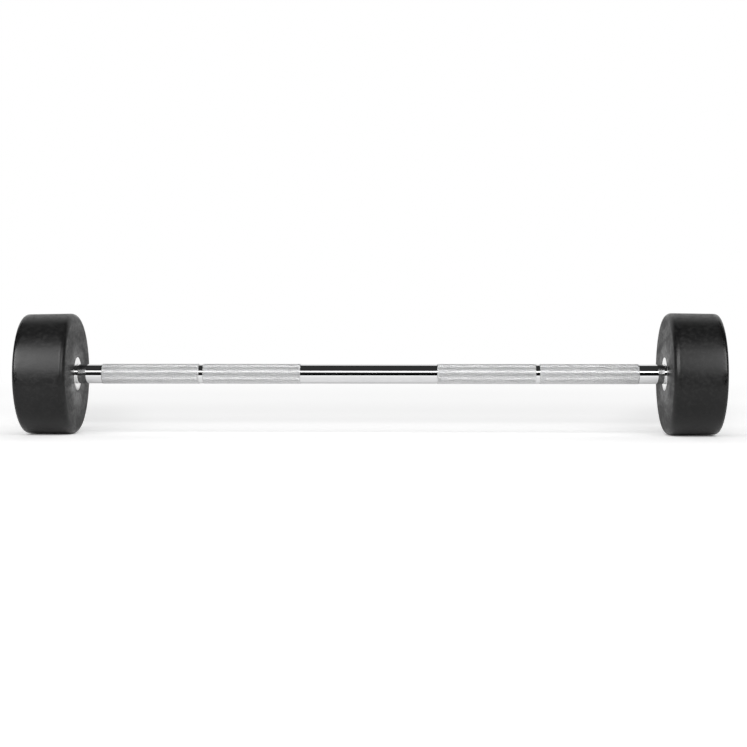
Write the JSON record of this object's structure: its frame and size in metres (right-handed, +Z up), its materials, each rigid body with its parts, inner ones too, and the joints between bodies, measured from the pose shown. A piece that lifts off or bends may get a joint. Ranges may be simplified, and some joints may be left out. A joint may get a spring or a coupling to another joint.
{
  "type": "fixed barbell",
  "caption": "Straight fixed barbell: a chromed steel bar with knurled grip bands, and a rubber-covered round weight keyed and bolted on each end.",
  "frame": {"origin": "on the floor under the middle of the bar, with both heads resting on z = 0", "axes": "+X along the bar towards the right head, +Y away from the picture's camera, +Z up"},
  "size_m": [1.073, 0.188, 0.188],
  "materials": {
    "chrome": "polished",
    "polished_steel": "polished",
    "zinc_plated_steel": "satin",
    "blackened_steel": "satin",
    "cast_iron": "matte",
    "rubber": "satin"
  },
  "bodies": {
    "root": {"bar": "chrome", "jacket_left": "rubber", "jacket_right": "rubber", "core_left": "cast_iron", "core_right": "cast_iron", "inner_ring_left": "polished_steel", "inner_ring_right": "polished_steel", "key_left": "zinc_plated_steel", "key_right": "zinc_plated_steel", "end_disc_left": "zinc_plated_steel", "end_disc_right": "zinc_plated_steel", "lock_washer_left": "zinc_plated_steel", "lock_washer_right": "zinc_plated_steel", "end_bolt_left": "blackened_steel", "end_bolt_right": "blackened_steel"}
  },
  "joints": []
}
